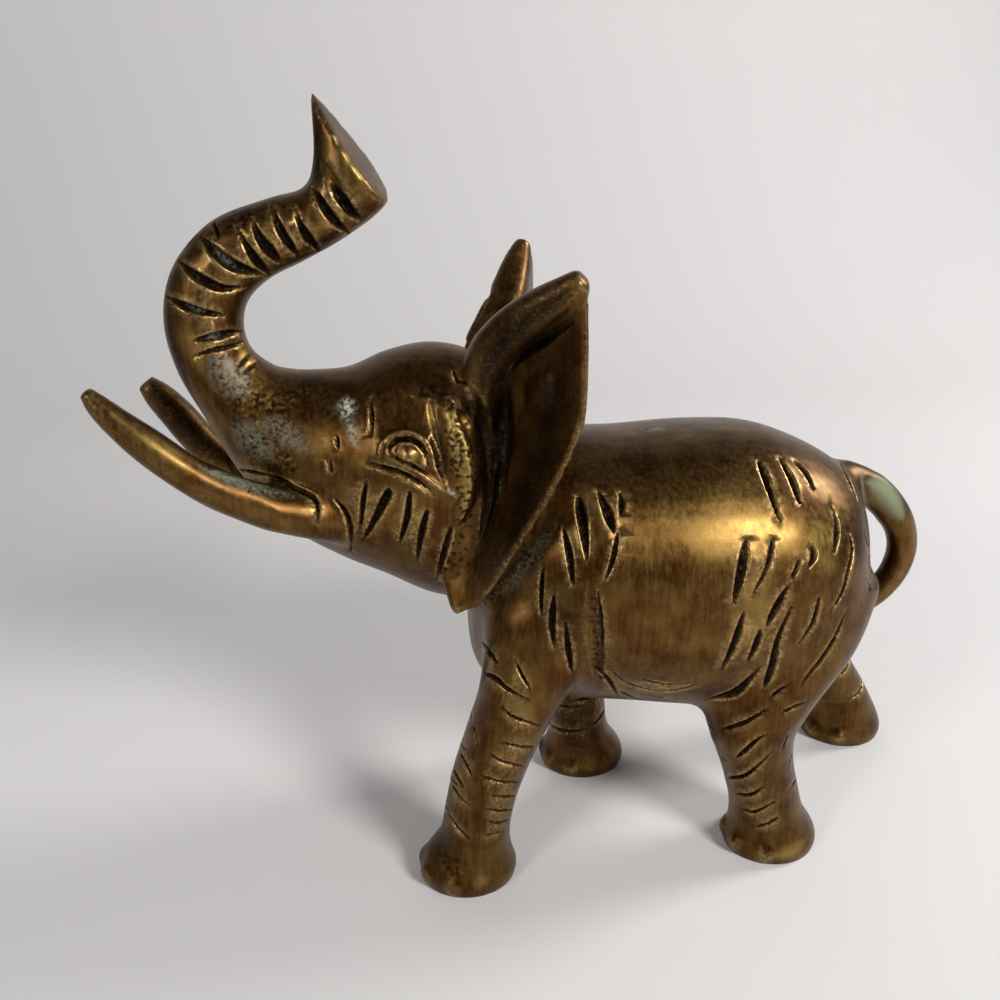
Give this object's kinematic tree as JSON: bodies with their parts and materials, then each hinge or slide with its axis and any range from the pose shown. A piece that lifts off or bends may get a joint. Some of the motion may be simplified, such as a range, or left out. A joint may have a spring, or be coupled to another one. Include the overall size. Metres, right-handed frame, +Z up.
{
  "type": "elephant figurine",
  "caption": "Cast brass elephant in mid stride with raised curled trunk, cupped ears, long tusks and a looped tail, standing on four flat feet.",
  "frame": {"origin": "centre of the bounding box's base, in the plane of the four soles", "axes": "+X from head to tail, +Y to the elephant's right side, +Z up"},
  "size_m": [0.2072, 0.0752, 0.18],
  "materials": {
    "cast_brass": "aged cast brass, rubbed bright on the flank, dark in the carving"
  },
  "bodies": {
    "root": {"elephant": "cast_brass"}
  },
  "joints": []
}
